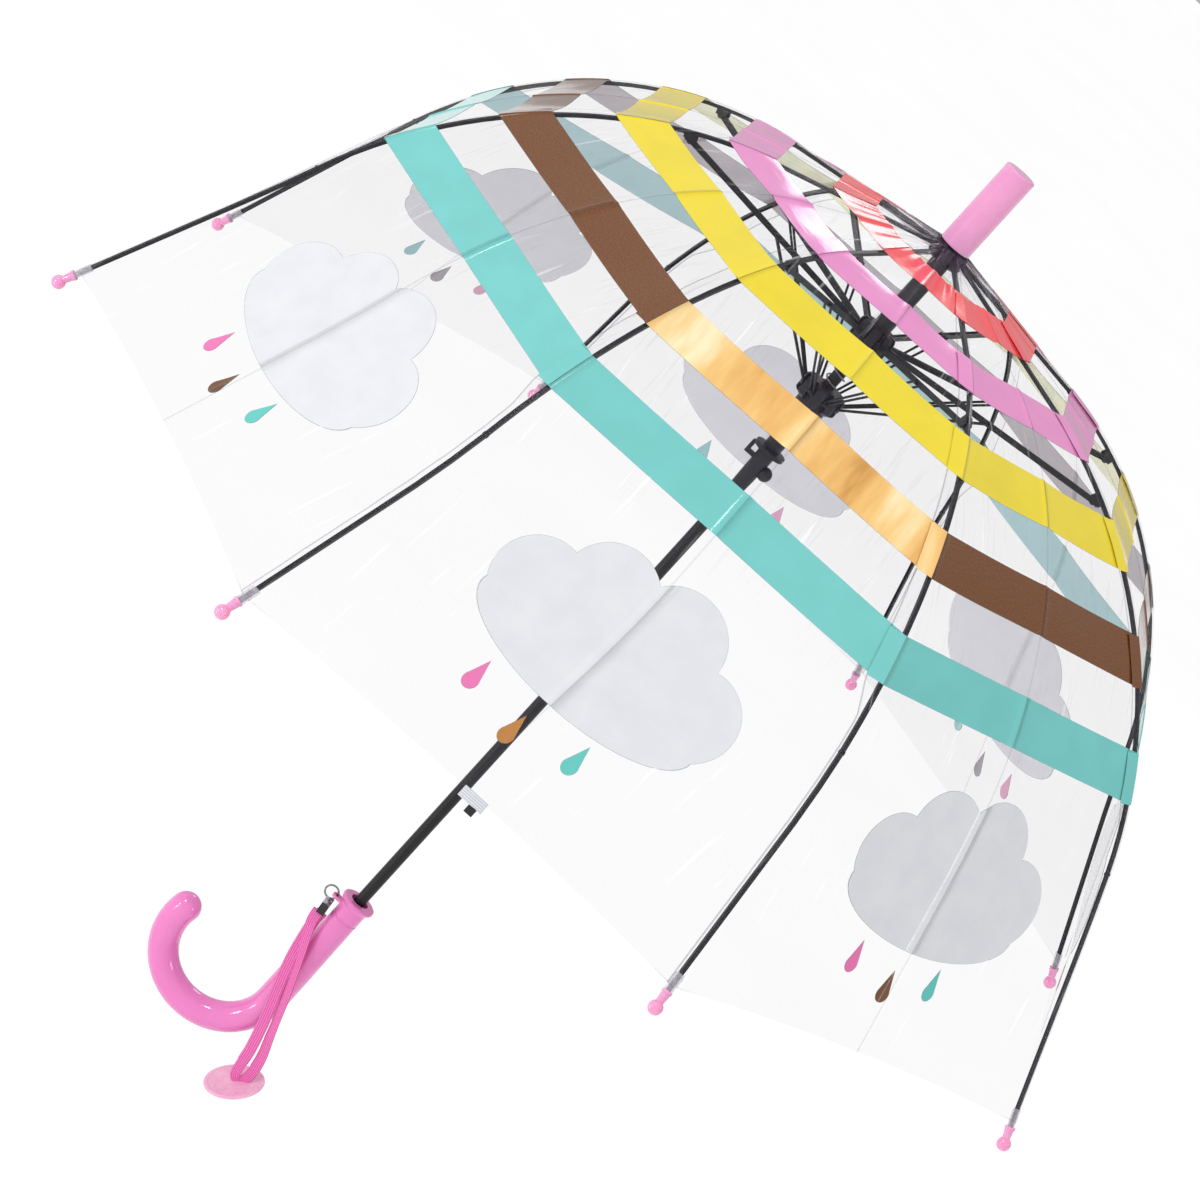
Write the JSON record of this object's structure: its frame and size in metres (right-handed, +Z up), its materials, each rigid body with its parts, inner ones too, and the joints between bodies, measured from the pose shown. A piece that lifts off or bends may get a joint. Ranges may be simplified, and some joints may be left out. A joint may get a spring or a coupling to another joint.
{
  "type": "children's umbrella",
  "caption": "Clear dome umbrella for a child: printed film canopy on curved ribs, two hubs sliding on a thin shaft, pink ferrule, J-shaped handle and a wrist strap with a round tag.",
  "frame": {"origin": "on the shaft axis at the middle of the handle's straight grip", "axes": "+Z up the shaft to the ferrule, +X the way the handle's hook opens, ribs at 22.5 degrees and every 45 degrees after it"},
  "size_m": [0.6718, 0.6718, 0.6915],
  "materials": {
    "film": "clear, glossy, printed with five coloured bands and grey clouds",
    "black_steel": "satin black paint",
    "hub_plastic": "black moulded nylon",
    "pink_plastic": "glossy pink",
    "ferrule_pink": "glossy pale pink",
    "tip_pink": "translucent pink",
    "spring_steel": "drawn wire",
    "webbing": "pink ribbed webbing",
    "ring_metal": "bright plated",
    "tag_pink": "translucent pink disc",
    "tie_fabric": "pale grey woven band"
  },
  "bodies": {
    "frame": {"shaft": "black_steel", "crown": "hub_plastic", "ferrule": "ferrule_pink", "handle": "pink_plastic"},
    "upper_hub": {"upper_hub": "hub_plastic", "main_spring": "spring_steel"},
    "runner": {"runner": "hub_plastic"},
    "release_button": {"release_button": "pink_plastic"},
    "wrist_strap": {"wrist_strap": "webbing", "strap_ring": "ring_metal", "strap_tag": "tag_pink"},
    "rib_1": {"rib_1": "black_steel", "rib_tip_1": "tip_pink"},
    "stretcher_1": {"stretcher_1": "black_steel"},
    "strut_1": {"strut_1": "black_steel"},
    "rib_2": {"rib_2": "black_steel", "rib_tip_2": "tip_pink"},
    "stretcher_2": {"stretcher_2": "black_steel"},
    "strut_2": {"strut_2": "black_steel"},
    "rib_3": {"rib_3": "black_steel", "rib_tip_3": "tip_pink"},
    "stretcher_3": {"stretcher_3": "black_steel"},
    "strut_3": {"strut_3": "black_steel"},
    "rib_4": {"rib_4": "black_steel", "rib_tip_4": "tip_pink"},
    "stretcher_4": {"stretcher_4": "black_steel"},
    "strut_4": {"strut_4": "black_steel"},
    "rib_5": {"rib_5": "black_steel", "rib_tip_5": "tip_pink"},
    "stretcher_5": {"stretcher_5": "black_steel"},
    "strut_5": {"strut_5": "black_steel"},
    "rib_6": {"rib_6": "black_steel", "rib_tip_6": "tip_pink"},
    "stretcher_6": {"stretcher_6": "black_steel"},
    "strut_6": {"strut_6": "black_steel"},
    "rib_7": {"rib_7": "black_steel", "rib_tip_7": "tip_pink"},
    "stretcher_7": {"stretcher_7": "black_steel"},
    "strut_7": {"strut_7": "black_steel"},
    "rib_8": {"rib_8": "black_steel", "rib_tip_8": "tip_pink"},
    "stretcher_8": {"stretcher_8": "black_steel"},
    "strut_8": {"strut_8": "black_steel"},
    "panel_1_left": {"panel_1_left": "film"},
    "panel_1_right": {"panel_1_right": "film"},
    "panel_2_left": {"panel_2_left": "film"},
    "panel_2_right": {"panel_2_right": "film", "tie_strap": "tie_fabric"},
    "panel_3_left": {"panel_3_left": "film"},
    "panel_3_right": {"panel_3_right": "film"},
    "panel_4_left": {"panel_4_left": "film"},
    "panel_4_right": {"panel_4_right": "film"},
    "panel_5_left": {"panel_5_left": "film"},
    "panel_5_right": {"panel_5_right": "film"},
    "panel_6_left": {"panel_6_left": "film"},
    "panel_6_right": {"panel_6_right": "film"},
    "panel_7_left": {"panel_7_left": "film"},
    "panel_7_right": {"panel_7_right": "film"},
    "panel_8_left": {"panel_8_left": "film"},
    "panel_8_right": {"panel_8_right": "film"}
  },
  "joints": [
    {"name": "runner_slide", "type": "slide", "parent": "frame", "child": "runner", "axis": [0, 0, 1], "range_m": [-0.17269, 0], "stiffness_N_per_m": 120, "springref_m": 0.12, "deforming": ["main_spring"]},
    {"name": "upper_hub_slide", "type": "slide", "parent": "frame", "child": "upper_hub", "axis": [0, 0, 1], "range_m": [-0.19653, 0]},
    {"name": "rib_1_hinge", "type": "hinge", "parent": "frame", "child": "rib_1", "pos_m": [0.00831, 0.00344, 0.5388], "axis": [-0.3827, 0.9239, 0], "range_deg": [0, 48.78]},
    {"name": "stretcher_1_hinge", "type": "hinge", "parent": "rib_1", "child": "stretcher_1", "pos_m": [0.13892, 0.05754, 0.50317], "axis": [-0.3827, 0.9239, 0], "range_deg": [-101.68, 0]},
    {"name": "strut_1_hinge", "type": "hinge", "parent": "stretcher_1", "child": "strut_1", "pos_m": [0.07408, 0.03068, 0.49109], "axis": [-0.3827, 0.9239, 0], "range_deg": [0, 21.99]},
    {"name": "rib_2_hinge", "type": "hinge", "parent": "frame", "child": "rib_2", "pos_m": [0.00344, 0.00831, 0.5388], "axis": [-0.9239, 0.3827, 0], "range_deg": [0, 48.78]},
    {"name": "stretcher_2_hinge", "type": "hinge", "parent": "rib_2", "child": "stretcher_2", "pos_m": [0.05754, 0.13892, 0.50317], "axis": [-0.9239, 0.3827, 0], "range_deg": [-101.68, 0]},
    {"name": "strut_2_hinge", "type": "hinge", "parent": "stretcher_2", "child": "strut_2", "pos_m": [0.03068, 0.07408, 0.49109], "axis": [-0.9239, 0.3827, 0], "range_deg": [0, 21.99]},
    {"name": "rib_3_hinge", "type": "hinge", "parent": "frame", "child": "rib_3", "pos_m": [-0.00344, 0.00831, 0.5388], "axis": [-0.9239, -0.3827, 0], "range_deg": [0, 48.78]},
    {"name": "stretcher_3_hinge", "type": "hinge", "parent": "rib_3", "child": "stretcher_3", "pos_m": [-0.05754, 0.13892, 0.50317], "axis": [-0.9239, -0.3827, 0], "range_deg": [-101.68, 0]},
    {"name": "strut_3_hinge", "type": "hinge", "parent": "stretcher_3", "child": "strut_3", "pos_m": [-0.03068, 0.07408, 0.49109], "axis": [-0.9239, -0.3827, 0], "range_deg": [0, 21.99]},
    {"name": "rib_4_hinge", "type": "hinge", "parent": "frame", "child": "rib_4", "pos_m": [-0.00831, 0.00344, 0.5388], "axis": [-0.3827, -0.9239, 0], "range_deg": [0, 48.78]},
    {"name": "stretcher_4_hinge", "type": "hinge", "parent": "rib_4", "child": "stretcher_4", "pos_m": [-0.13892, 0.05754, 0.50317], "axis": [-0.3827, -0.9239, 0], "range_deg": [-101.68, 0]},
    {"name": "strut_4_hinge", "type": "hinge", "parent": "stretcher_4", "child": "strut_4", "pos_m": [-0.07408, 0.03068, 0.49109], "axis": [-0.3827, -0.9239, 0], "range_deg": [0, 21.99]},
    {"name": "rib_5_hinge", "type": "hinge", "parent": "frame", "child": "rib_5", "pos_m": [-0.00831, -0.00344, 0.5388], "axis": [0.3827, -0.9239, 0], "range_deg": [0, 48.78]},
    {"name": "stretcher_5_hinge", "type": "hinge", "parent": "rib_5", "child": "stretcher_5", "pos_m": [-0.13892, -0.05754, 0.50317], "axis": [0.3827, -0.9239, 0], "range_deg": [-101.68, 0]},
    {"name": "strut_5_hinge", "type": "hinge", "parent": "stretcher_5", "child": "strut_5", "pos_m": [-0.07408, -0.03068, 0.49109], "axis": [0.3827, -0.9239, 0], "range_deg": [0, 21.99]},
    {"name": "rib_6_hinge", "type": "hinge", "parent": "frame", "child": "rib_6", "pos_m": [-0.00344, -0.00831, 0.5388], "axis": [0.9239, -0.3827, 0], "range_deg": [0, 48.78]},
    {"name": "stretcher_6_hinge", "type": "hinge", "parent": "rib_6", "child": "stretcher_6", "pos_m": [-0.05754, -0.13892, 0.50317], "axis": [0.9239, -0.3827, 0], "range_deg": [-101.68, 0]},
    {"name": "strut_6_hinge", "type": "hinge", "parent": "stretcher_6", "child": "strut_6", "pos_m": [-0.03068, -0.07408, 0.49109], "axis": [0.9239, -0.3827, 0], "range_deg": [0, 21.99]},
    {"name": "rib_7_hinge", "type": "hinge", "parent": "frame", "child": "rib_7", "pos_m": [0.00344, -0.00831, 0.5388], "axis": [0.9239, 0.3827, 0], "range_deg": [0, 48.78]},
    {"name": "stretcher_7_hinge", "type": "hinge", "parent": "rib_7", "child": "stretcher_7", "pos_m": [0.05754, -0.13892, 0.50317], "axis": [0.9239, 0.3827, 0], "range_deg": [-101.68, 0]},
    {"name": "strut_7_hinge", "type": "hinge", "parent": "stretcher_7", "child": "strut_7", "pos_m": [0.03068, -0.07408, 0.49109], "axis": [0.9239, 0.3827, 0], "range_deg": [0, 21.99]},
    {"name": "rib_8_hinge", "type": "hinge", "parent": "frame", "child": "rib_8", "pos_m": [0.00831, -0.00344, 0.5388], "axis": [0.3827, 0.9239, 0], "range_deg": [0, 48.78]},
    {"name": "stretcher_8_hinge", "type": "hinge", "parent": "rib_8", "child": "stretcher_8", "pos_m": [0.13892, -0.05754, 0.50317], "axis": [0.3827, 0.9239, 0], "range_deg": [-101.68, 0]},
    {"name": "strut_8_hinge", "type": "hinge", "parent": "stretcher_8", "child": "strut_8", "pos_m": [0.07408, -0.03068, 0.49109], "axis": [0.3827, 0.9239, 0], "range_deg": [0, 21.99]},
    {"name": "panel_1_left_fold", "type": "hinge", "parent": "rib_1", "child": "panel_1_left", "pos_m": [0.00831, 0.00344, 0.5388], "axis": [-0.0301, -0.9826, -0.1831], "range_deg": [0, 24.7], "deforming": ["panel_1_left"]},
    {"name": "panel_1_right_fold", "type": "hinge", "parent": "rib_2", "child": "panel_1_right", "pos_m": [0.00344, 0.00831, 0.5388], "axis": [0.9826, 0.0301, 0.1831], "range_deg": [0, 24.7], "deforming": ["panel_1_right"]},
    {"name": "panel_2_left_fold", "type": "hinge", "parent": "rib_2", "child": "panel_2_left", "pos_m": [0.00344, 0.00831, 0.5388], "axis": [0.6735, -0.7161, -0.1831], "range_deg": [0, 24.7], "deforming": ["panel_2_left"]},
    {"name": "panel_2_right_fold", "type": "hinge", "parent": "rib_3", "child": "panel_2_right", "pos_m": [-0.00344, 0.00831, 0.5388], "axis": [0.6735, 0.7161, 0.1831], "range_deg": [0, 24.7], "deforming": ["panel_2_right"]},
    {"name": "panel_3_left_fold", "type": "hinge", "parent": "rib_3", "child": "panel_3_left", "pos_m": [-0.00344, 0.00831, 0.5388], "axis": [0.9826, -0.0301, -0.1831], "range_deg": [0, 24.7], "deforming": ["panel_3_left"]},
    {"name": "panel_3_right_fold", "type": "hinge", "parent": "rib_4", "child": "panel_3_right", "pos_m": [-0.00831, 0.00344, 0.5388], "axis": [-0.0301, 0.9826, 0.1831], "range_deg": [0, 24.7], "deforming": ["panel_3_right"]},
    {"name": "panel_4_left_fold", "type": "hinge", "parent": "rib_4", "child": "panel_4_left", "pos_m": [-0.00831, 0.00344, 0.5388], "axis": [0.7161, 0.6735, -0.1831], "range_deg": [0, 24.7], "deforming": ["panel_4_left"]},
    {"name": "panel_4_right_fold", "type": "hinge", "parent": "rib_5", "child": "panel_4_right", "pos_m": [-0.00831, -0.00344, 0.5388], "axis": [-0.7161, 0.6735, 0.1831], "range_deg": [0, 24.7], "deforming": ["panel_4_right"]},
    {"name": "panel_5_left_fold", "type": "hinge", "parent": "rib_5", "child": "panel_5_left", "pos_m": [-0.00831, -0.00344, 0.5388], "axis": [0.0301, 0.9826, -0.1831], "range_deg": [0, 24.7], "deforming": ["panel_5_left"]},
    {"name": "panel_5_right_fold", "type": "hinge", "parent": "rib_6", "child": "panel_5_right", "pos_m": [-0.00344, -0.00831, 0.5388], "axis": [-0.9826, -0.0301, 0.1831], "range_deg": [0, 24.7], "deforming": ["panel_5_right"]},
    {"name": "panel_6_left_fold", "type": "hinge", "parent": "rib_6", "child": "panel_6_left", "pos_m": [-0.00344, -0.00831, 0.5388], "axis": [-0.6735, 0.7161, -0.1831], "range_deg": [0, 24.7], "deforming": ["panel_6_left"]},
    {"name": "panel_6_right_fold", "type": "hinge", "parent": "rib_7", "child": "panel_6_right", "pos_m": [0.00344, -0.00831, 0.5388], "axis": [-0.6735, -0.7161, 0.1831], "range_deg": [0, 24.7], "deforming": ["panel_6_right"]},
    {"name": "panel_7_left_fold", "type": "hinge", "parent": "rib_7", "child": "panel_7_left", "pos_m": [0.00344, -0.00831, 0.5388], "axis": [-0.9826, 0.0301, -0.1831], "range_deg": [0, 24.7], "deforming": ["panel_7_left"]},
    {"name": "panel_7_right_fold", "type": "hinge", "parent": "rib_8", "child": "panel_7_right", "pos_m": [0.00831, -0.00344, 0.5388], "axis": [0.0301, -0.9826, 0.1831], "range_deg": [0, 24.7], "deforming": ["panel_7_right"]},
    {"name": "panel_8_left_fold", "type": "hinge", "parent": "rib_8", "child": "panel_8_left", "pos_m": [0.00831, -0.00344, 0.5388], "axis": [-0.7161, -0.6735, -0.1831], "range_deg": [0, 24.7], "deforming": ["panel_8_left"]},
    {"name": "panel_8_right_fold", "type": "hinge", "parent": "rib_1", "child": "panel_8_right", "pos_m": [0.00831, 0.00344, 0.5388], "axis": [0.7161, -0.6735, 0.1831], "range_deg": [0, 24.7], "deforming": ["panel_8_right"]},
    {"name": "button_push", "type": "slide", "parent": "frame", "child": "release_button", "axis": [0, 1, 0], "range_m": [0, 0.0022], "stiffness_N_per_m": 400, "springref_m": -0.0015},
    {"name": "strap_swing", "type": "hinge", "parent": "frame", "child": "wrist_strap", "pos_m": [0.0114, 0, 0.0375], "axis": [1, 0, 0], "range_deg": [0, 40]}
  ],
  "couplings": [
    {"joint": "upper_hub_slide", "follows": "runner_slide", "ratio": 1.138},
    {"joint": "rib_1_hinge", "follows": "runner_slide", "rad_per_m": -4.9284},
    {"joint": "stretcher_1_hinge", "follows": "runner_slide", "rad_per_m": 10.275},
    {"joint": "strut_1_hinge", "follows": "runner_slide", "rad_per_m": -2.221},
    {"joint": "rib_2_hinge", "follows": "runner_slide", "rad_per_m": -4.9284},
    {"joint": "stretcher_2_hinge", "follows": "runner_slide", "rad_per_m": 10.275},
    {"joint": "strut_2_hinge", "follows": "runner_slide", "rad_per_m": -2.221},
    {"joint": "rib_3_hinge", "follows": "runner_slide", "rad_per_m": -4.9284},
    {"joint": "stretcher_3_hinge", "follows": "runner_slide", "rad_per_m": 10.275},
    {"joint": "strut_3_hinge", "follows": "runner_slide", "rad_per_m": -2.221},
    {"joint": "rib_4_hinge", "follows": "runner_slide", "rad_per_m": -4.9284},
    {"joint": "stretcher_4_hinge", "follows": "runner_slide", "rad_per_m": 10.275},
    {"joint": "strut_4_hinge", "follows": "runner_slide", "rad_per_m": -2.221},
    {"joint": "rib_5_hinge", "follows": "runner_slide", "rad_per_m": -4.9284},
    {"joint": "stretcher_5_hinge", "follows": "runner_slide", "rad_per_m": 10.275},
    {"joint": "strut_5_hinge", "follows": "runner_slide", "rad_per_m": -2.221},
    {"joint": "rib_6_hinge", "follows": "runner_slide", "rad_per_m": -4.9284},
    {"joint": "stretcher_6_hinge", "follows": "runner_slide", "rad_per_m": 10.275},
    {"joint": "strut_6_hinge", "follows": "runner_slide", "rad_per_m": -2.221},
    {"joint": "rib_7_hinge", "follows": "runner_slide", "rad_per_m": -4.9284},
    {"joint": "stretcher_7_hinge", "follows": "runner_slide", "rad_per_m": 10.275},
    {"joint": "strut_7_hinge", "follows": "runner_slide", "rad_per_m": -2.221},
    {"joint": "rib_8_hinge", "follows": "runner_slide", "rad_per_m": -4.9284},
    {"joint": "stretcher_8_hinge", "follows": "runner_slide", "rad_per_m": 10.275},
    {"joint": "strut_8_hinge", "follows": "runner_slide", "rad_per_m": -2.221},
    {"joint": "panel_1_left_fold", "follows": "runner_slide", "rad_per_m": -2.4944},
    {"joint": "panel_1_right_fold", "follows": "runner_slide", "rad_per_m": -2.4944},
    {"joint": "panel_2_left_fold", "follows": "runner_slide", "rad_per_m": -2.4944},
    {"joint": "panel_2_right_fold", "follows": "runner_slide", "rad_per_m": -2.4944},
    {"joint": "panel_3_left_fold", "follows": "runner_slide", "rad_per_m": -2.4944},
    {"joint": "panel_3_right_fold", "follows": "runner_slide", "rad_per_m": -2.4944},
    {"joint": "panel_4_left_fold", "follows": "runner_slide", "rad_per_m": -2.4944},
    {"joint": "panel_4_right_fold", "follows": "runner_slide", "rad_per_m": -2.4944},
    {"joint": "panel_5_left_fold", "follows": "runner_slide", "rad_per_m": -2.4944},
    {"joint": "panel_5_right_fold", "follows": "runner_slide", "rad_per_m": -2.4944},
    {"joint": "panel_6_left_fold", "follows": "runner_slide", "rad_per_m": -2.4944},
    {"joint": "panel_6_right_fold", "follows": "runner_slide", "rad_per_m": -2.4944},
    {"joint": "panel_7_left_fold", "follows": "runner_slide", "rad_per_m": -2.4944},
    {"joint": "panel_7_right_fold", "follows": "runner_slide", "rad_per_m": -2.4944},
    {"joint": "panel_8_left_fold", "follows": "runner_slide", "rad_per_m": -2.4944},
    {"joint": "panel_8_right_fold", "follows": "runner_slide", "rad_per_m": -2.4944}
  ]
}
